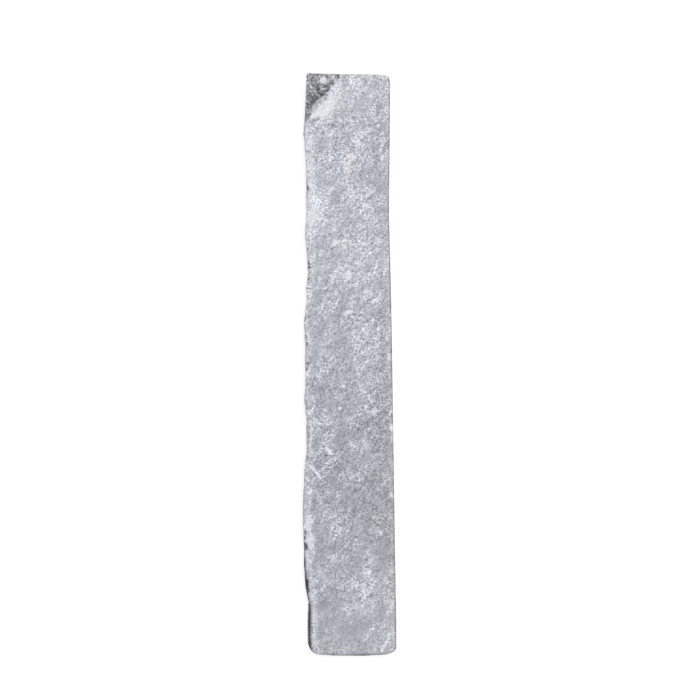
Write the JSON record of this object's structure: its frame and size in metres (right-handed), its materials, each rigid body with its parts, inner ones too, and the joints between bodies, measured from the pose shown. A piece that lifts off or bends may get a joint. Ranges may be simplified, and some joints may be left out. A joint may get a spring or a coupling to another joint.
{
  "type": "whetstone",
  "caption": "Natural stone sharpening bar with two broad flat honing faces, one sawn side and one rough split side.",
  "frame": {"origin": "middle of the bar's bounding box in plan, on the bed face it lies on", "axes": "+Y along the bar towards the end that keeps the rock skin, +X towards the sawn side, +Z out of the honing face"},
  "size_m": [0.0321, 0.2, 0.015],
  "materials": {
    "schist": "matte"
  },
  "bodies": {
    "root": {"whetstone": "schist"}
  },
  "joints": []
}
